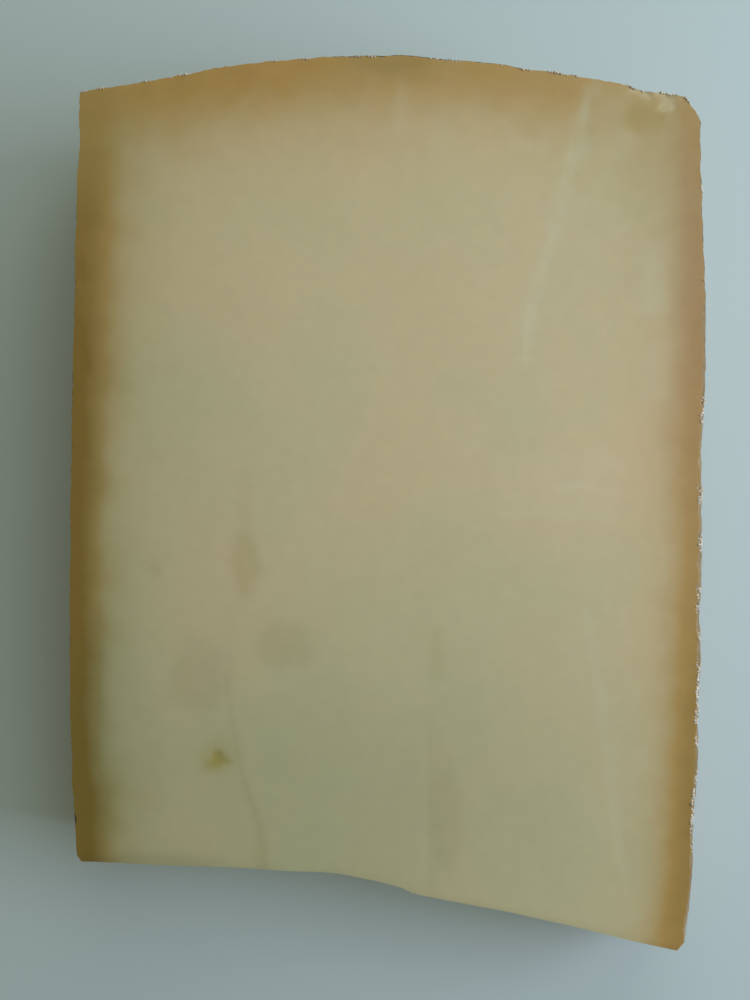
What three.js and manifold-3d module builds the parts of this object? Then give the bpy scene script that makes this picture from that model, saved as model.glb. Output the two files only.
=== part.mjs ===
// A chunk of hard mountain cheese, cut from a large wheel and lying on one of its cuts.
// Millimetres, +Z up. X runs from one flat rind of the wheel to the other, so it is the wheel's height.
// +Y points at the heel, the rim of the wheel. The two large faces are radial cuts that would meet at the
// wheel's axis.
import * as THREE from 'three';
import { ImprovedNoise } from 'three/addons/math/ImprovedNoise.js';
import { mergeVertices } from 'three/addons/utils/BufferGeometryUtils.js';
import Module from 'manifold-3d';

const wasm = await Module();
wasm.setup();

// The wheel, and how thick a slice the two radial cuts take from it at the heel
const WHEEL_RADIUS = 330;
const HEEL_THICKNESS = 28;
const SECTOR = HEEL_THICKNESS / WHEEL_RADIUS;

// The outline of a cut face, one run of points for each side, [across the wheel, towards the heel]
const CROWN_Y = 72.1;
const HEEL = [
  [-47.5, 66.5], [-35, 68.5], [-25.8, 70.15], [-13.4, 71.6], [-0.9, CROWN_Y], [11.5, 71.5], [23.9, 70.1],
  [34.8, 68.1], [46.8, 65.7],
];
const BROKEN_CORNER = [[47.1, 65.4], [48.1, 64.1], [49.2, 62.8]];
const RIGHT_RIND = [
  [49.6, 62], [50.1, 50], [51.1, 30], [51.1, 3], [51.7, -31], [51.1, -58], [50.2, -71.3],
];
const INNER_CUT = [
  [48.9, -72.6], [28.6, -67.6], [7.5, -63.2], [2.4, -61.4], [-4.2, -59.9], [-14.2, -58.8], [-50, -57.1],
];
const LEFT_RIND = [[-50.8, -56], [-51.4, -33.3], [-50.4, 3], [-48.8, 42.7], [-47.8, 58], [-47.6, 65.3]];

// Rind relief: broad lumps of the crust, finer grains on them, and the crumbled edge where the wire went
// through
const LUMP_SIZE = 9;
const LUMP_HEIGHT = 0.55;
const GRAIN_SIZE = 2.6;
const GRAIN_HEIGHT = 0.4;
const NOTCH_SIZE = 3.2;
const NOTCH_SHARE = 2;
const CRUMBLE_DEPTH = 1.4;
const CUT_WAVE = 0.25;

// How far the edge of each side is worn back, on average
const HEEL_WEAR = 0.3;
const RIGHT_WEAR = 0.75;
const LEFT_WEAR = 0.35;
const CUT_WEAR = 0.3;

// Fineness: spacing along the outline, levels of the walls as shares of the thickness, and rings of the cut
// faces as shares of the outline. Each ring has half the points of the one outside it.
const OUTLINE_STEP = 1.6;
const FACE_RINGS = [0.95, 0.82, 0.52];
const RING_UNIT = 2 ** FACE_RINGS.length;
const EDGE_LEVELS = [0, 0.02, 0.06, 0.13, 0.22, 0.33, 0.44];
const LEVELS = [...EDGE_LEVELS, ...EDGE_LEVELS.map((share) => 1 - share).reverse()];

// Marks on the upper cut face. A groove's points are [across, towards the heel, lift off the face as a share
// of its depth], so that it runs out where the lift reaches 1.
const EYE_AT = [-27, -39.6];
const EYE_SIZE = [1.9, 1.6, 0.9];
const EYE_ROUGHNESS = 0.3;
const FISSURE = [[-25.1, -20, 1], [-25.2, -30, 0.5], [-23.2, -42.2, 0.3], [-20, -59.5, 0]];
const FISSURE_WIDTH = 0.6;
const CREASE = [[6.5, -22, 1], [7.2, -34, 0.4], [7.5, -48, 0.2], [7.5, -64.5, 0]];
const CREASE_WIDTH = 0.5;
const STREAK = [
  [32.9, 70.5, 0.4], [30.4, 61.9, 0], [29.6, 57.3, 0.3], [25.5, 41.6, 0.1], [23.1, 32, 0], [22.4, 25, 1],
];
const STREAK_WIDTH = 1.6;
const STREAK_DEPTH = 0.2;
const FLAKES = [
  { at: [43.4, 64.5], size: [1.9, 1.6, 0.5], turn: 0.3 },
  { at: [41.5, 66.2], size: [2.4, 1.1, 0.6], turn: -0.2 },
  { at: [39.1, 67], size: [1.5, 1, 0.5], turn: 0.1 },
];
const FLAKE_ROUGHNESS = 0.5;
const HOLLOW_LUMPS = 2;
const HOLLOW_DETAIL = 3;
const GROOVE_STEP = 2.4;
const GROOVE_CORNERS = 4;
const WELD = 1e-4;

const perlin = new ImprovedNoise();
const axisToOrigin = WHEEL_RADIUS - CROWN_Y;

// A point of the flat cut face, swung about the wheel's axis by a share of the sector.
function swing(x, y, share) {
  const angle = SECTOR * share;
  const radius = axisToOrigin + y;
  return new THREE.Vector3(x, radius * Math.cos(angle) - axisToOrigin, radius * Math.sin(angle));
}

function bumps(point, size) {
  return perlin.noise(point.x / size, point.y / size, point.z / size);
}

// Points along one side, with how rindy it is and how far its edge is worn.
function sampleSide(points, rind, wear) {
  const curve = new THREE.SplineCurve(points.map(([x, y]) => new THREE.Vector2(x, y)));
  const count = RING_UNIT * Math.ceil(curve.getLength() / (RING_UNIT * OUTLINE_STEP));
  return curve.getSpacedPoints(count - 1).map((at) => ({ at, rind, wear }));
}

const outline = [
  ...sampleSide(HEEL, 1, HEEL_WEAR),
  ...sampleSide(BROKEN_CORNER, 1, HEEL_WEAR),
  ...sampleSide(RIGHT_RIND, 1, RIGHT_WEAR),
  ...sampleSide(INNER_CUT, 0, CUT_WEAR),
  ...sampleSide(LEFT_RIND, 1, LEFT_WEAR),
].reverse();

// The outline runs anticlockwise, so the outward direction is to the right of the way along it.
outline.forEach((sample, i) => {
  const before = outline.at(i - 1).at;
  const after = outline[(i + 1) % outline.length].at;
  const along = after.clone().sub(before).normalize();
  sample.outward = new THREE.Vector2(along.y, -along.x);
});

// How far a wall point stands out from the outline: crust lumps and grains on the rind, slight waves on the
// inner cut, less the crumbled edge next to either large cut.
function standOut(sample, share) {
  const point = swing(sample.at.x, sample.at.y, share);
  const thickness = swing(sample.at.x, sample.at.y, 1).z;
  const fromCut = Math.min(share, 1 - share) * thickness;
  const crust = LUMP_HEIGHT * bumps(point, LUMP_SIZE) + GRAIN_HEIGHT * bumps(point, GRAIN_SIZE);
  const knife = CUT_WAVE * bumps(point, LUMP_SIZE);
  const notch = NOTCH_SHARE * Math.abs(bumps(point, NOTCH_SIZE)) * sample.rind;
  const worn = sample.wear * (1 + notch) * (1 - THREE.MathUtils.smoothstep(fromCut, 0, CRUMBLE_DEPTH));
  return THREE.MathUtils.lerp(knife, crust, sample.rind) - worn;
}

// The chunk: rings of wall points from the lower cut to the upper one, closed by the two flat cut faces.
function chunkGeometry() {
  const count = outline.length;
  const positions = [];
  const index = [];

  function addPoint(spot, share) {
    positions.push(...swing(spot.x, spot.y, share).toArray());
    return { spot, share, id: positions.length / 3 - 1 };
  }

  // A flat cut face, from its rim through the shrinking rings to a point in the middle.
  function addFace(rim, turn) {
    const face = (a, b, c) => index.push(...turn([a.id, b.id, c.id]));
    let outer = rim;
    FACE_RINGS.forEach((size, ring) => {
      const every = 2 ** (ring + 1);
      const kept = rim.filter((_, i) => i % every === 0);
      const inner = kept.map(({ spot, share }) => addPoint(spot.clone().multiplyScalar(size), share));
      inner.forEach((near, i) => {
        const nearNext = inner[(i + 1) % inner.length];
        const between = outer[2 * i + 1];
        face(outer[2 * i], between, near);
        face(between, nearNext, near);
        face(between, outer[(2 * i + 2) % outer.length], nearNext);
      });
      outer = inner;
    });
    const middle = addPoint(new THREE.Vector2(), rim[0].share);
    outer.forEach((point, i) => face(point, outer[(i + 1) % outer.length], middle));
  }

  const rings = LEVELS.map((share) => outline.map((sample) => {
    const spot = sample.at.clone().addScaledVector(sample.outward, standOut(sample, share));
    return addPoint(spot, share);
  }));
  for (let level = 0; level + 1 < LEVELS.length; level += 1) {
    for (let i = 0; i < count; i += 1) {
      const next = (i + 1) % count;
      const low = level * count;
      const high = low + count;
      index.push(low + i, low + next, high + next, low + i, high + next, high + i);
    }
  }
  addFace(rings[0], (corners) => corners.reverse());
  addFace(rings.at(-1), (corners) => corners);
  const geometry = new THREE.BufferGeometry();
  geometry.setAttribute('position', new THREE.Float32BufferAttribute(positions, 3));
  geometry.setIndex(index);
  return geometry;
}

// Carries a cutter that was made on the flat z = 0 face up to the upper cut face.
function ontoUpperFace(geometry) {
  geometry.translate(0, axisToOrigin, 0);
  geometry.rotateX(SECTOR);
  geometry.translate(0, -axisToOrigin, 0);
  return geometry;
}

function toSolid(geometry) {
  const bare = geometry.clone();
  bare.deleteAttribute('normal');
  bare.deleteAttribute('uv');
  const merged = mergeVertices(bare, WELD);
  return new wasm.Manifold(new wasm.Mesh({
    numProp: 3,
    vertProperties: new Float32Array(merged.attributes.position.array),
    triVerts: new Uint32Array(merged.index.array),
  }));
}

// The rough hollow of a gas eye or of a flake of rind that broke away.
function hollow([x, y], size, turn, roughness) {
  const ball = new THREE.IcosahedronGeometry(1, HOLLOW_DETAIL);
  const geometry = mergeVertices(ball.deleteAttribute('normal').deleteAttribute('uv'));
  const place = geometry.attributes.position;
  for (let i = 0; i < place.count; i += 1) {
    const point = new THREE.Vector3().fromBufferAttribute(place, i);
    const lump = point.clone().multiplyScalar(HOLLOW_LUMPS);
    point.multiplyScalar(1 + roughness * perlin.noise(lump.x + x, lump.y + y, lump.z));
    place.setXYZ(i, point.x, point.y, point.z);
  }
  geometry.scale(...size);
  geometry.rotateZ(turn);
  geometry.translate(x, y, 0);
  return ontoUpperFace(geometry);
}

// A groove that follows a path over the face: an oval section, as wide and deep as given.
function groove(path, width, depth) {
  const points = path.map(([x, y, lift]) => new THREE.Vector3(x, y, lift * depth));
  const curve = new THREE.CatmullRomCurve3(points);
  const section = new THREE.Shape().absellipse(0, 0, depth, width / 2, 0, Math.PI * 2);
  const steps = Math.round(curve.getLength() / GROOVE_STEP);
  const form = { steps, curveSegments: GROOVE_CORNERS, extrudePath: curve };
  const geometry = new THREE.ExtrudeGeometry(section, form);
  return ontoUpperFace(geometry);
}

const cutters = [
  hollow(EYE_AT, EYE_SIZE, 0, EYE_ROUGHNESS),
  groove(FISSURE, FISSURE_WIDTH, FISSURE_WIDTH),
  groove(CREASE, CREASE_WIDTH, CREASE_WIDTH / 2),
  groove(STREAK, STREAK_WIDTH, STREAK_DEPTH),
  ...FLAKES.map(({ at, size, turn }) => hollow(at, size, turn, FLAKE_ROUGHNESS)),
];

// A hollow that grazes the rim can cut a loose crumb off it. Only the largest body is the chunk.
const uncut = toSolid(chunkGeometry());
const marked = cutters.reduce((body, cutter) => body.subtract(toSolid(cutter)), uncut);
const [solid] = marked.decompose().sort((a, b) => b.volume() - a.volume());
const finished = solid.getMesh();

const geometry = new THREE.BufferGeometry();
geometry.setAttribute('position', new THREE.BufferAttribute(finished.vertProperties, 3));
geometry.setIndex(new THREE.BufferAttribute(finished.triVerts, 1));
geometry.computeBoundingBox();
const middle = geometry.boundingBox.getCenter(new THREE.Vector3());
geometry.translate(-middle.x, -middle.y, -geometry.boundingBox.min.z);
geometry.computeVertexNormals();

const paste = new THREE.MeshStandardMaterial({ color: 0xdcba8c, roughness: 0.55, metalness: 0 });
paste.name = 'cheese';

const chunk = new THREE.Mesh(geometry, paste);
chunk.name = 'cheese_chunk';

const part = new THREE.Group();
part.name = 'cheese_chunk_part';
part.add(chunk);

export default part;
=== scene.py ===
# %% [markdown]
# # A chunk of hard mountain cheese
# The real thing is a flat piece taken out of a big cheese wheel. It lies on one of its two large cuts, so the
# pale paste shows on top, and the rind shows as a brown rim on three sides: the bowed heel and the two flat
# rinds of the wheel. The fourth side is a plain knife cut.
#
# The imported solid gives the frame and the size. This script lays one finer skin over it, with the worn rim,
# the eye and the crack as real shape, and then gives it paste, rind, light and a camera.

import math

import bmesh
import bpy
import numpy as np
from mathutils import Matrix, Vector, kdtree, noise
from mathutils.geometry import delaunay_2d_cdt


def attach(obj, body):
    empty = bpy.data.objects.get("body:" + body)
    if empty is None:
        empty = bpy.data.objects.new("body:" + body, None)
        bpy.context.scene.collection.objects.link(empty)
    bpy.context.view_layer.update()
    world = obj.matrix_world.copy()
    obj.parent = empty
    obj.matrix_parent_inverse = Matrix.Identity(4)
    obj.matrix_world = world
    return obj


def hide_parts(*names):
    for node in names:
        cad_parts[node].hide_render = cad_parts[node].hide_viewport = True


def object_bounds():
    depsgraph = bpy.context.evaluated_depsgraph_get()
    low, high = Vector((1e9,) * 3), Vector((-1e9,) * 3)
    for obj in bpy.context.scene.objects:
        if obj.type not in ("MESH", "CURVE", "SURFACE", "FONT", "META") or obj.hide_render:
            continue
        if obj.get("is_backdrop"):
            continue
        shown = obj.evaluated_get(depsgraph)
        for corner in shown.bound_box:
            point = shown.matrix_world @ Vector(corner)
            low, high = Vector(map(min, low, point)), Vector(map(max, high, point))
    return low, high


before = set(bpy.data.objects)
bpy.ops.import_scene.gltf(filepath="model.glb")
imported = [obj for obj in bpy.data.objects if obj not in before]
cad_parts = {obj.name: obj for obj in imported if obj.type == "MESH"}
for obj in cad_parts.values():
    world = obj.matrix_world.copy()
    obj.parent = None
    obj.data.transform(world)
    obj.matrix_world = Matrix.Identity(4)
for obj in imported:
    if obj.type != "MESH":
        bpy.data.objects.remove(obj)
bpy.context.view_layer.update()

# %% [markdown]
# ## The outline of the cut
# Both large faces are cuts from the rim of the wheel towards its axis, so they share one outline. It could be
# drawn as a dense polygon, but each side is really one smooth line: a few points and a spline through them
# keep the sizes readable. The points are millimetres on the cut, across the wheel and towards the heel.

# %% Sizes of the wheel and of the cut
MM = 0.001
WHEEL_RADIUS = 330
HEEL_THICKNESS = 28
SECTOR = HEEL_THICKNESS / WHEEL_RADIUS
CROWN_Y = 72.1
AXIS_TO_ORIGIN = WHEEL_RADIUS - CROWN_Y
SIDES = {
    "heel": [
        (-47.5, 66.5), (-35, 68.5), (-25.8, 70.15), (-13.4, 71.6), (-0.9, CROWN_Y),
        (11.5, 71.5), (23.9, 70.1), (34.8, 68.1), (46.8, 65.7),
    ],
    "broken_corner": [(47.1, 65.4), (48.1, 64.1), (49.2, 62.8)],
    "right": [(49.6, 62), (50.1, 50), (51.1, 30), (51.1, 3), (51.7, -31), (51.1, -58), (50.2, -71.3)],
    "inner": [
        (48.9, -72.6), (28.6, -67.6), (7.5, -63.2), (2.4, -61.4), (-4.2, -59.9), (-14.2, -58.8), (-50, -57.1),
    ],
    "left": [(-50.8, -56), (-51.4, -33.3), (-50.4, 3), (-48.8, 42.7), (-47.8, 58), (-47.6, 65.3)],
}
print("sector of", round(math.degrees(SECTOR), 2), "degrees")

# %% Smooth lines through a few points
SPLINE_STEPS = 40
FEWEST_POINTS = 3


def smooth_line(points, step):
    """Points about a step apart on the smooth line through the given ones."""
    points = np.array(points, float)
    ends = np.vstack([points[:1], points, points[-1:]])
    share = np.linspace(0, 1, SPLINE_STEPS, endpoint=False)[:, None]
    runs = []
    for before, start, end, after in zip(ends, ends[1:], ends[2:], ends[3:]):
        leave = (end - before) / 2
        arrive = (after - start) / 2
        cubic = 2 * start - 2 * end + leave + arrive
        square = -3 * start + 3 * end - 2 * leave - arrive
        runs.append(cubic * share**3 + square * share**2 + leave * share + start)
    line = np.vstack([*runs, points[-1:]])
    steps = np.linalg.norm(np.diff(line, axis=0), axis=1)
    travelled = np.concatenate([[0], np.cumsum(steps)])
    stops = np.linspace(0, travelled[-1], max(FEWEST_POINTS, round(travelled[-1] / step)))
    return np.column_stack([np.interp(stops, travelled, line[:, axis]) for axis in (0, 1)])


RIM_STEP = 0.48
lines = {side: smooth_line(points, RIM_STEP) for side, points in SIDES.items()}
outline = np.vstack(list(lines.values()))[::-1]
side_of = np.concatenate([[side] * len(line) for side, line in lines.items()])[::-1]
along_side = np.concatenate([np.linspace(0, 1, len(line)) for line in lines.values()])[::-1]
rind = (side_of != "inner").astype(float)
count = len(outline)
print(count, "points round the outline")

# %% [markdown]
# ## The walls
# The walls are the rind of the heel and of the wheel's two flat faces, and the knife cut. The wheel is round,
# so swinging the outline about its axis makes them. The crust is lumpy and grainy, and where the blade went
# through it, its edge has crumbled. A displacement in the material would vanish from other programs, so the
# relief is put into the points themselves, from a few sizes of smooth noise.

# %% Which way is outward, and how a cut swings about the wheel's axis
NORMAL_REACH = 3
ahead = np.roll(outline, -NORMAL_REACH, axis=0)
behind = np.roll(outline, NORMAL_REACH, axis=0)
heading = ahead - behind
outward = np.column_stack([heading[:, 1], -heading[:, 0]])
outward /= np.linalg.norm(outward, axis=1)[:, None]


def swing(spots, share):
    """Points of the flat cut, swung about the wheel's axis by a share of the sector."""
    angle = SECTOR * share
    radius = AXIS_TO_ORIGIN + spots[:, 1]
    return np.column_stack([spots[:, 0], radius * np.cos(angle) - AXIS_TO_ORIGIN, radius * np.sin(angle)])


def bumps(points, size):
    """Smooth lumps about this size, mostly between -0.5 and 0.5."""
    return np.array([noise.noise(Vector(point) / size) for point in points])


def ease(value, low, high):
    """Rises smoothly from 0 at low to 1 at high."""
    share = np.clip((value - low) / (high - low), 0, 1)
    return share * share * (3 - 2 * share)


thickness = swing(outline, 1)[:, 2]
print("from", round(thickness.min(), 1), "to", round(thickness.max(), 1), "mm thick")

# %% How far the wall stands out
# Sizes of lumps in millimetres, and how far lumps of each size stand out
CRUST_LUMPS = {9.0: 0.5, 2.6: 0.32, 1.0: 0.2}
FINE_LUMPS = (2.6, 1.0)
ROUGHNESS = {"heel": [0.4, 0.7], "broken_corner": [0.4], "right": [0.5, 0.7], "inner": [0], "left": [0.35]}
KNIFE_WAVE = 0.25
# How far the rim is worn back, at even steps along each side
WEAR = {
    "heel": [0.15, 0.15, 0.2, 0.4, 0.2, 0.15],
    "broken_corner": [0.2],
    "right": [0.25, 0.4, 0.55, 0.65, 0.6, 0.55, 0.5],
    "inner": [0.15],
    "left": [0.2],
}
WEAR_DEPTH = 1.2
# Sizes of notches in the worn rim, and how much each adds to the wear
NOTCHES = {3.2: 0.8, 1.1: 0.9}
# Places where the rim is nicked or stands proud, with the reach and the depth
NICKS = {
    (-50.7, -49.9): (0.9, 0.4),
    (-47.8, 62.8): (2.0, -0.2),
    (20.6, 70.6): (0.8, 0.2),
    (40, 67.1): (1.8, 0.25),
}
CORNER_BLEND = 5


def along(marks, where):
    """Values spaced evenly along a line, read at these shares of its length."""
    return np.interp(where, np.linspace(0, 1, len(marks)), marks)


def round_rim(per_side):
    """One value for each point of the outline, from values along its sides, blended where two sides meet."""
    values = np.zeros(count)
    for side, marks in per_side.items():
        here = side_of == side
        values[here] = along(marks, along_side[here])
    padded = np.concatenate([values[-CORNER_BLEND:], values, values[:CORNER_BLEND]])
    return np.convolve(padded, np.ones(CORNER_BLEND) / CORNER_BLEND, "same")[CORNER_BLEND:-CORNER_BLEND]


rough = round_rim(ROUGHNESS)
wear = round_rim(WEAR)


def crust_lumps(share, sizes):
    """Lumps of these sizes on the crust at one level of the wall."""
    points = swing(outline, share)
    return sum(CRUST_LUMPS[size] * bumps(points, size) for size in sizes)


def stand_out(share):
    """Relief of one level of the wall, in millimetres outward from the outline."""
    points = swing(outline, share)
    near_cut = 1 - ease(min(share, 1 - share) * thickness, 0, WEAR_DEPTH)
    knife = KNIFE_WAVE * bumps(points, max(CRUST_LUMPS))
    notch = sum(bite * np.abs(bumps(points, size)) for size, bite in NOTCHES.items())
    worn = wear * (1 + notch * rind)
    for place, (reach, depth) in NICKS.items():
        worn += share * depth * np.exp(-(((outline - place) ** 2).sum(axis=1)) / reach**2)
    return rough * crust_lumps(share, CRUST_LUMPS) + (1 - rind) * knife - worn * near_cut


print("halfway down, the crust stands out by up to", round(stand_out(0.5).max(), 2), "mm")

# %% Levels of the wall, closest together at the two cuts
EDGE_LEVELS = np.array([0, 0.006, 0.014, 0.024, 0.036, 0.05, 0.066, 0.085, 0.107, 0.131])
MIDDLE_LEVELS = np.linspace(0.157, 0.843, 32)
levels = np.concatenate([EDGE_LEVELS, MIDDLE_LEVELS, 1 - EDGE_LEVELS[::-1]])
wall_spots = [outline + outward * stand_out(share)[:, None] for share in levels]
low_rim = wall_spots[0]
top_rim = wall_spots[-1]
print(len(levels), "levels, rim worn back by up to", round(float(-stand_out(1).min()), 2), "mm")

# %% [markdown]
# ## Marks on the upper cut
# The cut is nearly flat, but it carries the story of the chunk: one small eye, a fine crack and a crease at
# the knife cut, pale wisps and patches where the blade dragged, and a corner where the browned edge has
# flaked off. Cutting them with booleans would leave hard edges. Here each mark is a line, a spot or a patch
# with soft flanks, so one function of the place on the face gives its height and others its colour.

# %% Distance from a line, soft spots and bumps on the flat
def near_line(spots, points, step=1.0):
    """How far each spot is to the left of a smooth line's run, and how far along it the nearest place is."""
    line = smooth_line(points, step)
    runs = np.diff(line, axis=0)
    nearest = np.full(len(spots), np.inf)
    where = np.zeros(len(spots))
    for k, (start, run) in enumerate(zip(line, runs)):
        offset = spots - start
        share = np.clip(offset @ run / (run @ run), 0, 1)
        gap = np.linalg.norm(offset - share[:, None] * run, axis=1)
        on_left = np.sign(run[0] * offset[:, 1] - run[1] * offset[:, 0])
        closer = gap < np.abs(nearest)
        nearest[closer] = (gap * on_left)[closer]
        where[closer] = (k + share[closer]) / len(runs)
    return nearest, where


def soft_spot(spots, centre, size, turn=0.0):
    """1 at the centre of an oval spot of this half width and half length, fading to 0 outside it."""
    offset = spots - np.array(centre)
    cos, sin = math.cos(turn), math.sin(turn)
    across = (offset[:, 0] * cos + offset[:, 1] * sin) / size[0]
    lengthways = (offset[:, 1] * cos - offset[:, 0] * sin) / size[1]
    return np.exp(-(across**2 + lengthways**2))


def flat_bumps(spots, size, layer=0.0):
    """Lumps of this size over the flat face. A layer gives another pattern."""
    return bumps(np.column_stack([spots, np.full(len(spots), layer)]), size)


# %% How much each kind of mark wavers, over what size and in which layer of the noise
PATCH_SOFT = 1.4
PATCH_CRISP = 0.35
UNEVEN = {
    "patch_sides": (PATCH_SOFT, 4.0, 11),
    "patch_ends": (PATCH_CRISP, 4.0, 12),
    "wisp_width": (0.7, 3.5, 4),
    "wisp_strength": (0.7, 2.2, 6),
    "eye": (0.7, 1.5, 1),
    "dim_place": (0.5, 3.0, 7),
    "crack": (1.0, 2.0, 0),
    "flake_edge": (1.2, 1.7, 5),
    "flake_floor": (1.0, 0.9, 9),
    "broad_browning": (0.1, 13, 2),
    "fine_browning": (0.12, 4, 3),
}


def uneven(spots, kind, mean=1.0):
    """A mean that wavers from place to place, as much as this kind of mark does."""
    amount, size, layer = UNEVEN[kind]
    return mean + amount * flat_bumps(spots, size, layer)


def soft_patch(spots, low, high):
    """1 inside a box with a crisp lower end and soft other sides, 0 outside it."""
    x = uneven(spots, "patch_sides", spots[:, 0])
    y = uneven(spots, "patch_ends", spots[:, 1])
    left = ease(x, low[0] - PATCH_SOFT, low[0] + PATCH_SOFT)
    right = 1 - ease(x, high[0] - PATCH_SOFT, high[0] + PATCH_SOFT)
    lower = ease(y, low[1] - PATCH_CRISP, low[1] + PATCH_CRISP)
    upper = 1 - ease(y, high[1], high[1] + 2 * PATCH_SOFT)
    return left * right * lower * upper


# %% Pale marks: wisps with a crisp left and a soft right flank, and patches where the blade dragged
WISPS = {
    "streak": {
        "line": [
            (31.8, 66.2), (30.4, 61.9), (29.6, 57.3), (27.6, 49), (25.5, 41.6), (23.1, 32), (22.4, 25.4),
        ],
        "flanks": (1.0, 1.6),
        "bloom": 0.21,
    },
    "faint_streak": {"line": [(2.9, 67.3), (2.5, 63.5), (1.8, 60.5)], "flanks": (0.7, 0.9), "bloom": 0.09},
    "curl": {
        "line": [(18.9, 62), (19.8, 59.7), (21.6, 58.1), (25.2, 58.4)],
        "flanks": (0.9, 0.9),
        "bloom": 0.1,
    },
    "lens": {"line": [(27.6, 4.4), (30.3, 5.2), (33.9, 4.6)], "flanks": (0.6, 0.6), "bloom": 0.12},
    "under_the_lens": {"line": [(18.7, 0.5), (28, 0.2), (36.9, -0.6)], "flanks": (0.5, 0.8), "bloom": 0.06},
    "lower_line": {
        "line": [(32.6, -15.5), (33.9, -23), (34.9, -28.3), (36.5, -40), (39, -56.9), (40.7, -65.8)],
        "flanks": (0.6, 1.4),
        "bloom": 0.11,
    },
    "hook": {"line": [(35.4, 55), (33.2, 52), (29.8, 48.3)], "flanks": (0.6, 0.6), "bloom": 0.07},
    "vein": {"line": [(45.1, 64.6), (44.2, 62.6), (43.4, 60)], "flanks": (0.5, 0.6), "bloom": 0.1},
}
PATCHES = {
    "tongue": {"low": (30.5, 56), "high": (37.8, 65), "bloom": 0.1},
    "by_the_rind": {"low": (40.2, 31.9), "high": (44.4, 42), "bloom": 0.12},
    "below_it": {"low": (40.8, 18.7), "high": (45, 27), "bloom": 0.1},
    "middle": {"low": (17.5, -0.2), "high": (38, 9), "bloom": 0.08},
}
WISP_FALL = 3
WISP_MEAN = 0.85


def wisp(spots, mark):
    """How strong a wisp is at each spot, uneven along its length."""
    across, _ = near_line(spots, mark["line"])
    flank = np.where(across < 0, *mark["flanks"]) * uneven(spots, "wisp_width")
    return np.exp(-(np.abs(across / flank) ** WISP_FALL)) * uneven(spots, "wisp_strength", WISP_MEAN)


print(len(WISPS), "wisps and", len(PATCHES), "patches")

# %% Dark marks: the eye, the crack, the crease, dim places in the paste and painted shade along the rolled lower edge
# Places of soft spots, with half widths and half lengths
EYE = {(-26.5, -40.1): (1.9, 0.9), (-27.2, -39.0): (1.0, 1.0)}
EYE_HALO = {(-27.3, -39.3): (2.8, 2.8), (-28.2, -40.6): (1.5, 1.0)}
EYE_EDGE = (0.1, 1.2)
EYE_DEPTH = 0.09
CRACK = [(-25, -14.5), (-25.1, -21.2), (-25.3, -29.5), (-23.2, -42.2), (-20.6, -51), (-20, -58.5)]
CRACK_WIDTH = 0.3
CRACK_START_WIDTH = 0.6
CRACK_DEPTH = 0.02
CRACK_START_DEPTH = 0.3
CREASE = [(6.2, -20.1), (6.9, -28.3), (7.4, -38.8), (7.5, -62)]
CREASE_RISE = 0.02
CREASE_FORM = {"step": (-0.3, 0.3), "reach": 6, "start": (0, 0.5)}
DIM_EDGE = (0.15, 0.65)
DIM_SPOTS = {
    "left_of_crack": {"at": (-30.0, -26.0), "size": (4.8, 7.0), "turn": 0, "shade": 0.06, "olive": 0.05},
    "broad": {"at": (-15.6, -20.8), "size": (5.0, 4.2), "turn": 0.2, "shade": 0.065, "olive": 0.07},
    "tall": {"at": (-22.4, -7.6), "size": (2.6, 5.2), "turn": 0.1, "shade": 0.065, "olive": 0.2},
    "above_it": {"at": (-22.4, 3), "size": (1.3, 6), "turn": 0, "shade": 0.02, "olive": 0.06},
    "dot": {"at": (-37.2, -8.4), "size": (1.2, 1.1), "turn": 0, "shade": 0.05, "olive": 0.1},
    "by_the_crease": {"at": (10.2, -49), "size": (2.4, 10), "turn": 0, "shade": 0.025, "olive": 0.12},
    "over_the_crease": {"at": (8.6, -22.8), "size": (1.4, 4.6), "turn": 0, "shade": 0.025, "olive": 0.1},
    "leaf": {"at": (40.6, 62.1), "size": (3.6, 2.8), "turn": 0.1, "shade": 0.02, "olive": 0.4},
    "below_the_leaf": {"at": (40.2, 53), "size": (3.2, 6.5), "turn": 0, "shade": 0.01, "olive": 0.1},
    "by_the_heel": {"at": (18, 66.5), "size": (10, 3.5), "turn": 0, "shade": 0.0, "olive": 0.06},
    "heel_corner": {"at": (37, 62), "size": (18, 11), "turn": 0, "shade": 0.0, "olive": 0.12},
    # Painted shade along the rolled lower edge
    "painted_shade_on_low_edge": {"at": (-39, -57.2), "size": (13, 1.9), "turn": 0, "shade": 0.12, "olive": 0.0},
    "crown": {"at": (1.5, 71), "size": (7, 1.8), "turn": 0, "shade": 0.06, "olive": 0.0},
}
FLAKED = {(44.0, 64.5): (1.3, 1.2), (41.8, 65.9): (1.9, 0.7), (39.2, 66.7): (1.2, 0.6)}
FLAKE_EDGE = (0.25, 0.6)
FLAKE_DEPTH = 0.12


def flaked_at(spots):
    """Where the browned skin has flaked off at the broken corner."""
    flaked = np.zeros(len(spots))
    for place, size in FLAKED.items():
        broken = soft_spot(spots, place, size) * uneven(spots, "flake_edge")
        flaked = np.maximum(flaked, ease(broken, *FLAKE_EDGE))
    return flaked


def eye_at(spots):
    """1 in the middle of the eye, with an uneven edge."""
    lobes = sum(soft_spot(spots, place, size) for place, size in EYE.items())
    return ease(lobes * uneven(spots, "eye"), *EYE_EDGE)


def dim_spot(spots, mark):
    """1 all over a dim place, with an uneven and fairly crisp edge."""
    oval = soft_spot(spots, mark["at"], mark["size"], mark["turn"])
    return ease(oval * uneven(spots, "dim_place"), *DIM_EDGE)


def by_the_crease(spots, step, reach, start):
    """Rises in a step across the crease, fades with distance from it and grows along it."""
    across, where = near_line(spots, CREASE)
    return ease(across, *step) * np.exp(-np.abs(across) / reach) * ease(where, *start)


print(len(DIM_SPOTS), "dim places and", len(FLAKED), "flakes")

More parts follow.
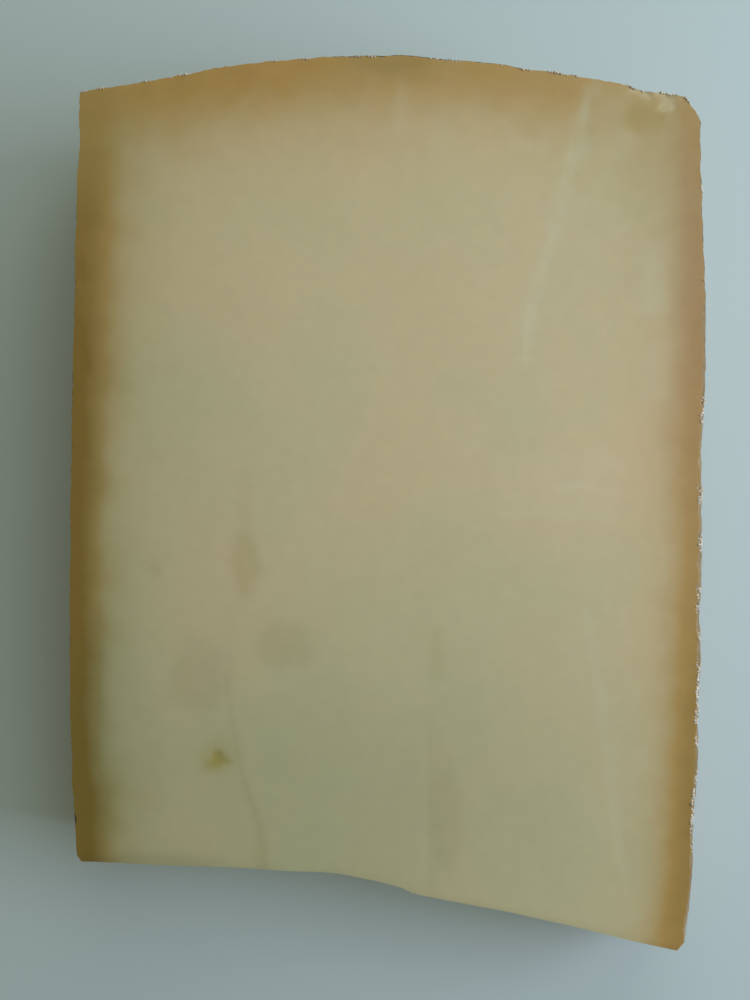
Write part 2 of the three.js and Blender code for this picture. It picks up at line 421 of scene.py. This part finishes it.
# %% Height of the upper cut
BROAD_WAVE = {40.0: 0.16, 12.0: 0.05, 4.0: 0.012}
WISP_GROOVE = 0.16
PATCH_RISE = 0.3
ROLLED_EDGE = 0.1
ROLLED_REACH = 1.6


def face_height(spots):
    """Height of the upper cut above a true plane, in millimetres."""
    height = sum(tall * flat_bumps(spots, size) for size, tall in BROAD_WAVE.items())
    height -= sum(WISP_GROOVE * mark["bloom"] * wisp(spots, mark) for mark in WISPS.values())
    for mark in PATCHES.values():
        height += PATCH_RISE * mark["bloom"] * soft_patch(spots, mark["low"], mark["high"])
    height -= EYE_DEPTH * eye_at(spots)
    across, where = near_line(spots, CRACK)
    opening = CRACK_WIDTH * (CRACK_START_WIDTH + where) * uneven(spots, "crack")
    deepening = CRACK_START_DEPTH + (1 - CRACK_START_DEPTH) * where
    height -= CRACK_DEPTH * deepening * np.clip(1 - np.abs(across) / opening, 0, 1)
    height += CREASE_RISE * by_the_crease(spots, **CREASE_FORM)
    height -= FLAKE_DEPTH * flaked_at(spots) * uneven(spots, "flake_floor")
    across, _ = near_line(spots, SIDES["inner"])
    return height - ROLLED_EDGE * (1 - ease(np.abs(across), 0, ROLLED_REACH)) ** 2


rim_height = face_height(top_rim)
print("rim between", round(rim_height.min(), 2), "and", round(rim_height.max(), 2), "mm from a plane")

# %% Points on a cut face: rings along the rim, then a grid that is finer at the marks
ROW_STEP = math.sqrt(0.75)
GRID_SHAKE = 0.18


def spread(step, rng):
    """A slightly shaken grid of staggered points over the whole outline."""
    low = outline.min(axis=0)
    high = outline.max(axis=0)
    rows = np.arange(low[1], high[1], step * ROW_STEP)
    columns = np.arange(low[0], high[0], step)
    grid = np.array([(x + step / 2 * (k % 2), y) for k, y in enumerate(rows) for x in columns])
    return grid + rng.uniform(-GRID_SHAKE, GRID_SHAKE, grid.shape) * step


def inside(spots, loop):
    """Which spots lie inside a closed loop."""
    within = np.zeros(len(spots), bool)
    for (x0, y0), (x1, y1) in zip(loop, np.roll(loop, -1, axis=0)):
        if y0 == y1:
            continue
        crossed = (y0 > spots[:, 1]) != (y1 > spots[:, 1])
        within ^= crossed & (spots[:, 0] < x0 + (spots[:, 1] - y0) * (x1 - x0) / (y1 - y0))
    return within


def gap_to(loop, spots):
    """Distance of each spot from the nearest point of a loop."""
    tree = kdtree.KDTree(len(loop))
    for k, (x, y) in enumerate(loop):
        tree.insert((x, y, 0), k)
    tree.balance()
    found = [tree.find((x, y, 0)) for x, y in spots]
    return np.array([distance for _, _, distance in found])


# %% Fill a rim with triangles
ONLY_INSIDE = 1
WELD_GAP = 1e-6
RINGS = (0.35, 0.8, 1.4)
RING_CLEARANCE = 0.7


def fill(rim, inner):
    """Triangles over a rim and the points inside it, numbered rim first."""
    corners = [Vector(spot) for spot in np.vstack([rim, inner])]
    hoop = [(k, (k + 1) % len(rim)) for k in range(len(rim))]
    _, _, faces, origins, _, _ = delaunay_2d_cdt(corners, hoop, [], ONLY_INSIDE, WELD_GAP)
    return [[origins[k][0] for k in face] for face in faces]


def ring_points(rim):
    """Points on rings just inside a rim."""
    found = []
    for reach in RINGS:
        ring = rim - outward * reach
        ring = ring[::2] if reach > RINGS[0] else ring
        keep = inside(ring, rim) & (gap_to(rim, ring) > RING_CLEARANCE * reach)
        found.append(ring[keep])
    return np.vstack(found)


# %% The upper cut, fine at its marks, and the plainer lower one
FINE_STEP = 0.4
FACE_STEP = 0.9
LOWER_STEP = 3.0
MARK_REACH = 1.3
CLEAR_OF_RIM = 1.9
CLEAR_STEPS = 0.8
GRID_SEED = 7
rng = np.random.default_rng(GRID_SEED)


def at_marks(spots):
    """Where the upper cut needs small triangles."""
    fine = eye_at(spots) + flaked_at(spots) > 0
    for line in (CRACK, CREASE, *(mark["line"] for mark in WISPS.values())):
        fine |= np.abs(near_line(spots, line)[0]) < MARK_REACH
    return fine


def clear_spots(step, rim):
    """Grid points inside a rim and clear of its rings."""
    grid = spread(step, rng)
    grid = grid[inside(grid, rim)]
    return grid[gap_to(rim, grid) > max(CLEAR_OF_RIM, CLEAR_STEPS * step)]


coarse = clear_spots(FACE_STEP, top_rim)
fine = clear_spots(FINE_STEP, top_rim)
top_inner = np.vstack([ring_points(top_rim), coarse[~at_marks(coarse)], fine[at_marks(fine)]])
low_inner = np.vstack([ring_points(low_rim), clear_spots(LOWER_STEP, low_rim)])
top_faces = fill(top_rim, top_inner)
low_faces = fill(low_rim, low_inner)
print(len(top_faces), "triangles on the upper cut,", len(low_faces), "on the lower one")

# %% [markdown]
# ## One skin
# On the real chunk, rind and paste have grown together. Three loose meshes would show seams along the rims,
# so wall, upper cut and lower cut share their rim points and make one closed mesh. The height of the upper
# cut also moves the wall below its rim, less and less on the way down, so that nothing folds over.

# %% Put the points together
RIM_PULL = 6
face_up = np.array([0, -math.sin(SECTOR), math.cos(SECTOR)])
wall = []
for spots, share in zip(wall_spots, levels):
    wall.append(swing(spots, share) + np.outer(rim_height * share**RIM_PULL, face_up))
top_points = swing(top_inner, 1) + np.outer(face_height(top_inner), face_up)
low_points = swing(low_inner, 0)
points = np.vstack([*wall, top_points, low_points])
places = np.vstack([*wall_spots, top_inner, low_inner])
middle = (points.max(axis=0) + points.min(axis=0)) / 2
shift = np.array([-middle[0], -middle[1], 0])
points += shift
print("skin measures", np.round(points.max(axis=0) - points.min(axis=0), 2), "mm")

# %% Join them with faces
PASTE_SLOT = 0
RIND_SLOT = 1
top_start = (len(levels) - 1) * count
top_inner_start = len(levels) * count
low_inner_start = top_inner_start + len(top_inner)


def facing(faces, rim_start, inner_start, places, up):
    """The faces of a cut with their final point numbers, all turned the same way."""
    turned = []
    for a, b, c in faces:
        one, two = places[b] - places[a], places[c] - places[a]
        if (one[0] * two[1] - one[1] * two[0] > 0) != up:
            b, c = c, b
        turned.append([k + rim_start if k < count else k - count + inner_start for k in (a, b, c)])
    return turned


walls = []
wall_finish = []
for level in range(len(levels) - 1):
    for k in range(count):
        following = (k + 1) % count
        low = level * count
        high = low + count
        walls.append([low + k, low + following, high + following, high + k])
        wall_finish.append(RIND_SLOT if rind[k] or rind[following] else PASTE_SLOT)
upper = facing(top_faces, top_start, top_inner_start, np.vstack([top_rim, top_inner]), True)
lower = facing(low_faces, 0, low_inner_start, np.vstack([low_rim, low_inner]), False)
print(len(walls), "faces round the walls")

# %% One mesh with a sharp line along both rims
mesh = bpy.data.meshes.new("cheese_skin")
mesh.from_pydata((points * MM).tolist(), [], walls + upper + lower)
mesh.polygons.foreach_set("material_index", wall_finish + [PASTE_SLOT] * (len(upper) + len(lower)))
mesh.polygons.foreach_set("use_smooth", [True] * len(mesh.polygons))
mesh.validate()
mesh.update()
ends = np.zeros(2 * len(mesh.edges), int)
mesh.edges.foreach_get("vertices", ends)
ends = ends.reshape(-1, 2)
# Points are numbered level by level, so a whole division by the count gives the level.
ring = ends // count
on_rim = (ring[:, 0] == ring[:, 1]) & np.isin(ring[:, 0], (0, len(levels) - 1))
mesh.edges.foreach_set("use_edge_sharp", on_rim)
cheese = bpy.data.objects.new("cheese_skin", mesh)
bpy.context.collection.objects.link(cheese)
print(2 * len(walls) + len(upper) + len(lower), "triangles in the skin")

# %% [markdown]
# ## Browning under the rind
# A cut through an aged wheel is darkest just under the rind and fades to pale paste within a centimetre. The
# band is darkest along the left rind, paler on the right, and broad and soft at the heel. A gradient texture
# can't follow the bent outline, so the distance to each rind is measured at every point and stored with the
# mesh.

# %% Distance to each rind, turned into browning
# Millimetres from the rind at which half of the browning is left, at even steps along each side
HALF_BROWN = {
    "left": [5.0, 6.0, 4.8, 4.6, 4.6, 4.7, 4.8, 5.0, 5.4, 5.8, 6.3, 7.2, 7.8],
    "right": [5.8, 5.8, 5.6, 5.2, 5.0, 5.0, 5.5],
    "heel": [10.0, 9.0, 8.2, 8.0],
}
# Browning at the rind itself, at even steps along each side
STRENGTH = {
    "left": [1.15, 1.18, 1.1, 1.06, 1.06, 0.9, 0.45],
    "right": [0.5, 0.57, 0.63, 0.6, 0.74, 0.8, 0.7],
    "heel": [0.5, 0.58, 0.56, 0.52, 0.5, 0.44, 0.24],
}
FADE = 3.0
OVERLAP = 3
RIND_LINE_STEP = 2.0


def browning_at(spots):
    """0 for pale paste to 1 for the darkest paste under the rind."""
    wavering = uneven(spots, "broad_browning") + uneven(spots, "fine_browning", 0)
    shares = []
    for side, half in HALF_BROWN.items():
        across, where = near_line(spots, SIDES[side], RIND_LINE_STEP)
        gap = np.abs(across) * wavering / along(half, where)
        shares.append(along(STRENGTH[side], where) / (1 + gap**FADE))
    return np.linalg.norm(shares, ord=OVERLAP, axis=0)


browning = browning_at(places)
print("mean browning", round(float(browning.mean()), 3))

# %% [markdown]
# ## Tints of the paste
# The paste isn't one colour. The marks are a little olive, dim or whitish, and broad parts of the cut are
# duller, pinker or more sallow than the rest. Some of the dimming is painted shade: in the crack, beside the
# crease, along the rolled lower edge and towards the upper right. Painting an image would do it too, but
# would tie the colours to one size of picture. Each tint is a sum of soft spots and of the marks above,
# stored with the mesh.

# %% Colour of the marks on the upper cut, with painted shade in the crack and beside the crease
EYE_OLIVE = 0.52
HALO_OLIVE = 0.48
CRACK_OLIVE = 0.22
# Painted shade in the crack, deepening along it
CRACK_SHADE = (0.02, 0.05)
CRACK_MARK_REACH = 0.6
CRACK_MARK_WIDENING = 3
# Painted shade on one side of the crease, growing along it
CREASE_SHADE = 0.05
CREASE_TONE = {"step": (-0.4, 0.3), "reach": 3, "start": (0.1, 0.7)}
FLAKE_BLOOM = 0.07


def crack_stain_and_shade(spots):
    """1 on the crack, fading beside it, for its olive tint and its painted shade, and how far along the crack
    each spot is.
    """
    across, where = near_line(spots, CRACK)
    reach = CRACK_MARK_REACH + CRACK_MARK_REACH * where**CRACK_MARK_WIDENING
    return np.exp(-((across / reach) ** 2)), where


def olive_at(spots):
    """How much the marks tint the paste olive."""
    olive = EYE_OLIVE * eye_at(spots)
    for place, size in EYE_HALO.items():
        olive += HALO_OLIVE * soft_spot(spots, place, size)
    for mark in DIM_SPOTS.values():
        olive += mark["olive"] * dim_spot(spots, mark)
    crack_mark, where = crack_stain_and_shade(spots)
    return olive + CRACK_OLIVE * where * crack_mark


def bloom_at(spots):
    """How much the pale marks whiten the paste."""
    bloom = sum(mark["bloom"] * wisp(spots, mark) for mark in WISPS.values())
    bloom += sum(mark["bloom"] * soft_patch(spots, mark["low"], mark["high"]) for mark in PATCHES.values())
    return bloom + FLAKE_BLOOM * flaked_at(spots)


def shade_at(spots):
    """How much the dark marks dim the paste: dim places, and painted shade in the crack, beside the crease
    and along the rolled lower edge.
    """
    shade = sum(mark["shade"] * dim_spot(spots, mark) for mark in DIM_SPOTS.values())
    crack_mark, where = crack_stain_and_shade(spots)
    # Painted shade in the crack
    shade += along(CRACK_SHADE, where) * crack_mark
    # Painted shade beside the crease
    return shade + CREASE_SHADE * by_the_crease(spots, **CREASE_TONE)


# %% Broad tints: half width, half length and strength of each soft spot
# These spots make the paste darker and greyer, most towards the lower left and along the left rind; two of
# them are painted shade
DULL_AND_SHADE_SPOTS = {
    (-15, -48): (42, 30, 1.0),
    (-42, 8): (20, 42, 0.55),
    (-44.5, -40): (6, 20, 0.9),
    (-45, 58): (10, 10, 0.55),
    # Painted shade along the rolled lower edge
    (-33, -58): (18, 3.5, 0.3),
    # Painted shade where the light falls off towards the upper right
    (42, 52): (14, 18, 0.4),
    (28, -45): (26, 30, 0.3),
    (1.5, 70): (8, 2.5, 0.5),
}
BLUSH_SPOTS = {(50, 36): (11, 36, 1.0)}
SALLOW_SPOTS = {(-46, -38): (9, 24, 0.9), (-46, 12): (9, 38, 0.5)}


def tint(soft_spots):
    """How strong a broad tint is at every point of the skin."""
    return sum(share * soft_spot(places, place, size) for place, (*size, share) in soft_spots.items())


# %% Darker crust at the rim, and the lumps of the crust
RIM_REACH = 0.1
RIM_DARK = {
    "heel": [0.3, 0.2, 0.4, 1, 0.4, 0.1, 0.1],
    "broken_corner": [0.4],
    "right": [0.9, 0.6, 0.2, 0, 0, 0.2, 0.4],
    "inner": [0],
    "left": [1],
}
near_rim = 1 - ease(np.minimum(levels, 1 - levels), 0, RIM_REACH)
not_wall = np.zeros(len(top_inner) + len(low_inner))
rim_dark = np.concatenate([np.outer(near_rim, round_rim(RIM_DARK)).ravel(), not_wall])
lump = np.concatenate([*(crust_lumps(share, FINE_LUMPS) for share in levels), not_wall])
print("crust lumps up to", round(float(np.abs(lump).max()), 2), "mm")

# %% Store the colours with the mesh
FLAKE_LOSS = 0.5
on_upper_cut = np.zeros(len(places))
on_upper_cut[top_start:low_inner_start] = 1
browning = browning * (1 - FLAKE_LOSS * flaked_at(places) * on_upper_cut)
tones = {
    "browning": browning,
    "bloom": bloom_at(places) * on_upper_cut,
    "shade": shade_at(places) * on_upper_cut,
    "olive": olive_at(places) * on_upper_cut,
    "dull_and_shade": tint(DULL_AND_SHADE_SPOTS),
    "blush": tint(BLUSH_SPOTS),
    "sallow": tint(SALLOW_SPOTS),
    "rim": rim_dark,
    "lump": lump,
}
for name, values in tones.items():
    layer = mesh.attributes.new(name, "FLOAT", "POINT")
    layer.data.foreach_set("value", values.astype(np.float32))
    print(name, "from", round(float(values.min()), 2), "to", round(float(values.max()), 2))

# %% [markdown]
# ## Helpers for finishes
# Every finish below is a handful of nodes on one Principled shader. These helpers keep the recipes short: a
# pattern of a size in millimetres, a mix of two colours, a bit of arithmetic and a bump. The mix node has a
# set of sockets for each kind of value, so the ones for colours are picked by their numbers.

# %% Short calls for shader nodes
MIX_INPUTS = (0, 6, 7)
MIX_OUTPUT = 2


def fresh_finish(name):
    """A new material, its node tree and its shader."""
    finish = bpy.data.materials.new(name)
    finish.use_nodes = True
    return finish, finish.node_tree, finish.node_tree.nodes["Principled BSDF"]


def plug(tree, socket, value):
    """Puts a number, a colour or another node's output into a socket."""
    if isinstance(value, bpy.types.NodeSocket):
        tree.links.new(value, socket)
    else:
        socket.default_value = value


def pattern(tree, size, detail, layer=0.0):
    """Cloudy noise with lumps of this many millimetres. A layer gives another pattern."""
    place = tree.nodes.new("ShaderNodeTexCoord")
    clouds = tree.nodes.new("ShaderNodeTexNoise")
    clouds.noise_dimensions = "4D"
    plug(tree, clouds.inputs["Vector"], place.outputs["Object"])
    plug(tree, clouds.inputs["Scale"], 1 / (size * MM))
    plug(tree, clouds.inputs["Detail"], detail)
    plug(tree, clouds.inputs["W"], layer)
    return clouds.outputs["Fac"]


def stored(tree, name):
    """A value that is stored with the mesh."""
    layer = tree.nodes.new("ShaderNodeAttribute")
    layer.attribute_name = name
    return layer.outputs["Fac"]


def sums(tree, operation, one, two):
    """One step of arithmetic."""
    step = tree.nodes.new("ShaderNodeMath")
    step.operation = operation
    plug(tree, step.inputs[0], one)
    plug(tree, step.inputs[1], two)
    return step.outputs[0]


def between(tree, value, low, high, start=0.0, end=1.0):
    """Maps a value from low..high to start..end, and stops at the ends."""
    scale = tree.nodes.new("ShaderNodeMapRange")
    plug(tree, scale.inputs["Value"], value)
    plug(tree, scale.inputs["From Min"], low)
    plug(tree, scale.inputs["From Max"], high)
    plug(tree, scale.inputs["To Min"], start)
    plug(tree, scale.inputs["To Max"], end)
    return scale.outputs["Result"]


def blend(tree, share, one, two, how="MIX"):
    """Two colours, mixed by a share."""
    mixer = tree.nodes.new("ShaderNodeMix")
    mixer.data_type = "RGBA"
    mixer.blend_type = how
    for socket, value in zip(MIX_INPUTS, (share, one, two)):
        plug(tree, mixer.inputs[socket], value)
    return mixer.outputs[MIX_OUTPUT]


def relief(tree, height, depth, under=None):
    """A bump of this many millimetres, over another one if there is one."""
    bump = tree.nodes.new("ShaderNodeBump")
    plug(tree, bump.inputs["Height"], height)
    plug(tree, bump.inputs["Distance"], depth * MM)
    if under is not None:
        plug(tree, bump.inputs["Normal"], under)
    return bump.outputs["Normal"]


# %% [markdown]
# ## Paste
# The paste of an aged pressed cheese is pale cream, a little greyer in places, with faint mottling from the
# curd, and it lets some light into it. It is smooth but not shiny, with a trace of butterfat. Towards the
# rind it turns tan and then brown. One flat colour would look like plastic, so the stored browning picks the
# colour, noise keeps the change from looking airbrushed, and the stored tints are laid over it.

# %% Colours of the paste
CREAM = (0.788, 0.576, 0.348, 1)
GREY_CREAM = (0.723, 0.581, 0.347, 1)
DULL_AND_SHADE_TINT = (0.73, 0.85, 0.83, 1)
OLIVE_TINT = (0.8, 0.71, 0.4, 1)
TAN = (0.56, 0.314, 0.094, 1)
PINK_TAN = (0.55, 0.315, 0.145, 1)
OLIVE_TAN = (0.46, 0.31, 0.125, 1)
BROWN = (0.335, 0.18, 0.036, 1)
PALE_BLOOM = (0.82, 0.77, 0.58, 1)
FULL_TAN = 0.55
paste, tree, shader = fresh_finish("cut_paste")

mottled = between(tree, pattern(tree, size=26, detail=3), low=0.35, high=0.65)
cream = blend(tree, mottled, CREAM, GREY_CREAM)
patchy = between(tree, pattern(tree, size=3.5, detail=3, layer=8), low=0.25, high=0.75, start=0.92, end=1.08)
brown_share = sums(tree, "MULTIPLY", patchy, stored(tree, "browning"))
to_tan = between(tree, brown_share, low=0.0, high=FULL_TAN)
to_brown = between(tree, brown_share, low=FULL_TAN, high=1.0)
tan = blend(tree, stored(tree, "blush"), TAN, PINK_TAN)
tan = blend(tree, stored(tree, "sallow"), tan, OLIVE_TAN)
colour = blend(tree, to_brown, blend(tree, to_tan, cream, tan), BROWN)
colour = blend(tree, stored(tree, "bloom"), colour, PALE_BLOOM)
# This tint greys broad parts of the paste and lays painted shade along the rolled lower edge and towards the
# upper right
colour = blend(tree, stored(tree, "dull_and_shade"), colour, DULL_AND_SHADE_TINT, "MULTIPLY")
colour = blend(tree, stored(tree, "olive"), colour, OLIVE_TINT, "MULTIPLY")
print("colours of the paste from", len(tree.nodes), "nodes")

# %% Curd, sheen and the light that enters the paste
LIGHT_REACH = 1.2
LIGHT_SPREAD = (1.0, 0.6, 0.3)
curd = between(tree, pattern(tree, size=2.2, detail=3, layer=4), low=0.3, high=0.7, start=0.98, end=1.02)
# The stored shade dims the base colour: dim places in the paste, and painted shade in the crack, beside the
# crease and along the rolled lower edge
light_share = sums(tree, "MULTIPLY", curd, sums(tree, "SUBTRACT", 1.0, stored(tree, "shade")))
grey = tree.nodes.new("ShaderNodeCombineColor")
for channel in grey.inputs:
    plug(tree, channel, light_share)
plug(tree, shader.inputs["Base Color"], blend(tree, 1.0, colour, grey.outputs["Color"], "MULTIPLY"))
sheen = between(tree, pattern(tree, size=5, detail=3, layer=2), low=0.3, high=0.7, start=0.5, end=0.64)
plug(tree, shader.inputs["Roughness"], sheen)
soft = relief(tree, pattern(tree, size=1.4, detail=4, layer=6), depth=0.016)
fine_grain = relief(tree, pattern(tree, size=0.35, detail=2, layer=7), depth=0.006, under=soft)
plug(tree, shader.inputs["Normal"], fine_grain)
shader.inputs["Specular IOR Level"].default_value = 0.3
shader.inputs["Subsurface Weight"].default_value = 0.1
shader.inputs["Subsurface Radius"].default_value = LIGHT_SPREAD
shader.inputs["Subsurface Scale"].default_value = LIGHT_REACH * MM
mesh.materials.append(paste)
print("paste with", len(tree.nodes), "nodes")

# %% [markdown]
# ## Rind
# The rind is a dry crust: brown, dull and grainy, with a greyish beige bloom on its high spots and dark pits
# between the grains. A plain brown would look like leather. Patches of several sizes mix brown, tan and
# bloom, the stored lumps put the bloom on the high spots, and a cell pattern gives the grains.

# %% Rind crust
DARK_CRUST = (0.1, 0.068, 0.04, 1)
BROWN_CRUST = (0.25, 0.155, 0.072, 1)
TAN_CRUST = (0.34, 0.222, 0.105, 1)
BLOOM = (0.45, 0.33, 0.2, 1)
RIM_TINT = (0.55, 0.52, 0.5, 1)
crust, tree, shader = fresh_finish("rind_crust")


def grains(tree, size):
    """Distance from the middle of the nearest grain, for grains of this many millimetres."""
    place = tree.nodes.new("ShaderNodeTexCoord")
    cells = tree.nodes.new("ShaderNodeTexVoronoi")
    plug(tree, cells.inputs["Vector"], place.outputs["Object"])
    plug(tree, cells.inputs["Scale"], 1 / (size * MM))
    return cells.outputs["Distance"]


patches = between(tree, pattern(tree, size=9, detail=4), low=0.36, high=0.64)
colour = blend(tree, patches, BROWN_CRUST, TAN_CRUST)
raised = sums(tree, "ADD", pattern(tree, size=5, detail=5, layer=3), stored(tree, "lump"))
colour = blend(tree, between(tree, raised, low=0.45, high=0.85, end=0.5), colour, BLOOM)
sunken = sums(tree, "SUBTRACT", pattern(tree, size=1.3, detail=4, layer=5), stored(tree, "lump"))
colour = blend(tree, between(tree, sunken, low=0.55, high=0.85, end=0.45), colour, DARK_CRUST)
colour = blend(tree, stored(tree, "rim"), colour, RIM_TINT, "MULTIPLY")
plug(tree, shader.inputs["Base Color"], colour)
dryness = between(tree, pattern(tree, size=3, detail=3, layer=2), low=0.3, high=0.7, start=0.78, end=0.95)
plug(tree, shader.inputs["Roughness"], dryness)
coarse_grain = relief(tree, grains(tree, size=1.3), depth=0.16)
fine_grain = relief(tree, pattern(tree, size=0.45, detail=4, layer=6), depth=0.1, under=coarse_grain)
plug(tree, shader.inputs["Normal"], fine_grain)
shader.inputs["Specular IOR Level"].default_value = 0.25
mesh.materials.append(crust)
print("rind with", len(tree.nodes), "nodes")

# %% [markdown]
# ## Crumbs on the rim
# Where the blade broke through the crust, pale crumbs stick to the rim, most of them on the right. They are
# about half a millimetre or less, but they catch the light. A modifier could scatter them, but over whole
# faces and not along a rim. Here each one is a shaken little ball, pressed halfway into a point of the wall
# near its rim, and one mesh holds them all.

# %% Crumbs
# Runs of crumbs on each side: radius, where along the side they gather, and how many levels below the rim
CRUMBS = {
    "right": {"runs": 34, "size": (0.15, 0.34), "heavy": (3.2, 2.0), "levels": (1, 5)},
    "heel": {"runs": 24, "size": (0.12, 0.26), "heavy": (1.4, 1.0), "levels": (0, 2)},
    "broken_corner": {"runs": 2, "size": (0.12, 0.22), "heavy": (1, 1), "levels": (0, 2)},
    "left": {"runs": 2, "size": (0.1, 0.18), "heavy": (2, 2), "levels": (1, 5)},
}
RUN_LENGTH = (0.8, 2.4)
CRUMBS_PER_MM = 4.6
RUN_DEVIATIONS = 3
FLATTENED = (0.6, 1.3)
SHAKEN = (0.75, 1.2)
CRUMB_SEED = 21
rng = np.random.default_rng(CRUMB_SEED)
crumb_mesh = bmesh.new()
for side, crumb in CRUMBS.items():
    around = np.flatnonzero(side_of == side)[::-1]
    for _ in range(crumb["runs"]):
        length = rng.uniform(*RUN_LENGTH)
        centre = rng.beta(*crumb["heavy"]) * len(around)
        for place in rng.normal(centre, length / RIM_STEP / RUN_DEVIATIONS, round(length * CRUMBS_PER_MM)):
            k = around[int(np.clip(place, 0, len(around) - 1))]
            level = len(levels) - 1 - rng.integers(*crumb["levels"])
            seat = Vector(points[level * count + k] * MM)
            size = rng.uniform(*crumb["size"]) * MM
            turned = Matrix.Rotation(rng.uniform(0, math.tau), 4, Vector(rng.normal(size=3)))
            flat = Matrix.Diagonal((*rng.uniform(*FLATTENED, 3), 1))
            ball = bmesh.ops.create_icosphere(crumb_mesh, subdivisions=1, radius=size)
            for corner in ball["verts"]:
                corner.co *= rng.uniform(*SHAKEN)
                corner.co = seat + turned @ flat @ corner.co
crumb_data = bpy.data.meshes.new("rind_crumbs")
crumb_mesh.to_mesh(crumb_data)
crumb_mesh.free()
crumb_data.polygons.foreach_set("use_smooth", [True] * len(crumb_data.polygons))
crumbs = bpy.data.objects.new("rind_crumbs", crumb_data)
bpy.context.collection.objects.link(crumbs)
print(len(crumb_data.polygons), "triangles in the crumbs")

# %% Crumb finish
PALE_CRUMB = (0.72, 0.57, 0.46, 1)
TAN_CRUMB = (0.58, 0.44, 0.32, 1)
CRUMB_LIGHT_REACH = 0.4
CRUMB_LIGHT_SPREAD = (1.0, 0.8, 0.6)
crumb_finish, tree, shader = fresh_finish("pale_crumb")
kind = between(tree, pattern(tree, size=2.5, detail=1, layer=9), low=0.35, high=0.6)
plug(tree, shader.inputs["Base Color"], blend(tree, kind, TAN_CRUMB, PALE_CRUMB))
plug(tree, shader.inputs["Normal"], relief(tree, pattern(tree, size=0.2, detail=2), depth=0.03))
shader.inputs["Roughness"].default_value = 0.8
shader.inputs["Specular IOR Level"].default_value = 0.3
shader.inputs["Subsurface Weight"].default_value = 0.5
shader.inputs["Subsurface Radius"].default_value = CRUMB_LIGHT_SPREAD
shader.inputs["Subsurface Scale"].default_value = CRUMB_LIGHT_REACH * MM
crumb_data.materials.append(crumb_finish)
print("crumbs with", len(tree.nodes), "nodes")

# %% Seat both pieces on the frame
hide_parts("cheese_chunk")
for piece in (cheese, crumbs):
    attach(piece, "root")
    print(piece.name, "rides on the root body")

# %% [markdown]
# ## Table, light and camera
# The chunk lies on a pale table. A large window at the right lights it, and a far wall and the ceiling throw
# some light back, so its shade falls to the left and a little below. A sun lamp would make that shade too
# hard, so every lamp is a soft area. The camera hangs straight above.

# %% Pale table
TABLE_SIZE = 12
TABLE_DROP = 0.05
TABLE_PALE = (0.592, 0.642, 0.65, 1)
TABLE_PALER = (0.606, 0.654, 0.66, 1)
table_mesh = bpy.data.meshes.new("table_top")
half = TABLE_SIZE / 2
corners = [(-half, -half, 0), (half, -half, 0), (half, half, 0), (-half, half, 0)]
table_mesh.from_pydata(corners, [], [(0, 1, 2, 3)])
table = bpy.data.objects.new("table_top", table_mesh)
bpy.context.collection.objects.link(table)
table.location.z = -TABLE_DROP * MM
table_finish, tree, shader = fresh_finish("pale_table")
cloudy = pattern(tree, size=30, detail=3)
plug(tree, shader.inputs["Base Color"], blend(tree, cloudy, TABLE_PALE, TABLE_PALER))
shader.inputs["Roughness"].default_value = 0.6
table_mesh.materials.append(table_finish)
table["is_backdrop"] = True
print("table of", TABLE_SIZE, "m")

# %% Window light and room light
LAMPS = {
    "window": {"at": (0.75, 0.2, 0.75), "size": 1.0, "watts": 2.43, "tint": (0.61, 0.86, 1.0)},
    "low_window": {"at": (0.4, 0.0, 0.18), "size": 0.3, "watts": 1.59, "tint": (0.68, 0.81, 1.0)},
    "far_wall": {"at": (0.1, 0.4, 0.25), "size": 0.35, "watts": 0.55, "tint": (0.87, 1.0, 0.92)},
    "ceiling": {"at": (0.05, 0.05, 0.9), "size": 0.9, "watts": 0.76, "tint": (0.84, 1.0, 0.9)},
}
ROOM_TINT = (0.99, 0.98, 0.6, 1)
ROOM_STRENGTH = 0.14
for name, lamp in LAMPS.items():
    light = bpy.data.lights.new(name, "AREA")
    light.size = lamp["size"]
    light.energy = lamp["watts"]
    light.color = lamp["tint"]
    stand = bpy.data.objects.new(name, light)
    stand.location = lamp["at"]
    stand.rotation_euler = (-stand.location).to_track_quat("-Z", "Y").to_euler()
    bpy.context.collection.objects.link(stand)
room = bpy.data.worlds.new("room")
room.use_nodes = True
background = room.node_tree.nodes["Background"]
background.inputs["Color"].default_value = ROOM_TINT
background.inputs["Strength"].default_value = ROOM_STRENGTH
bpy.context.scene.world = room
bpy.context.scene.view_settings.view_transform = "Standard"
print(len(LAMPS), "lamps")

# %% Camera straight above
CAMERA_AT = (-1.73, 2.32, 193.8)
LONG_SIDE_VIEW = 50
lens = bpy.data.cameras.new("camera")
lens.angle = math.radians(LONG_SIDE_VIEW)
camera = bpy.data.objects.new("camera", lens)
camera.location = Vector(CAMERA_AT) * MM
bpy.context.collection.objects.link(camera)
bpy.context.scene.camera = camera
print("camera at", CAMERA_AT, "mm")

# %% [markdown]
# ## The size of the visual model
# The skin must not outgrow the imported solid, so the box round the skin and the crumbs is printed.

# %% Print the size of the visual model
low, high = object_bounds()
print("visual model from", low, "to", high)
